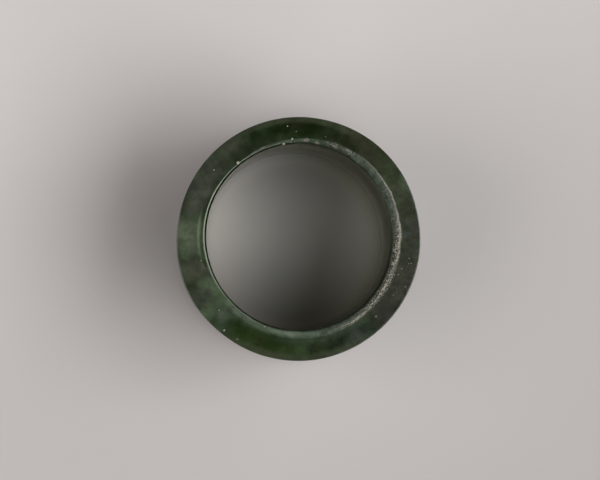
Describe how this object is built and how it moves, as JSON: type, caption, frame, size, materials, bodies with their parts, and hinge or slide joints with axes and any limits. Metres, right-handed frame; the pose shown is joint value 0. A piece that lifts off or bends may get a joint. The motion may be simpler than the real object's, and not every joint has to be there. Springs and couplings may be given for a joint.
{
  "type": "archer's thumb ring",
  "caption": "Thick, short tube of dark green mottled jade worn on an archer's thumb, with an almost flat end, a crisp outer edge and an unevenly ground bevel round the mouth of its hole.",
  "frame": {"origin": "centre of the flat end that the ring stands on", "axes": "+Z along the ring's axis, up, towards the bevelled mouth; +X is the right side of the picture and +Y its top"},
  "size_m": [0.03, 0.03, 0.025],
  "materials": {
    "jade": "satin polish, dark green with paler and darker clouds, a rough ground bevel"
  },
  "bodies": {
    "root": {"thumb_ring": "jade"}
  },
  "joints": []
}
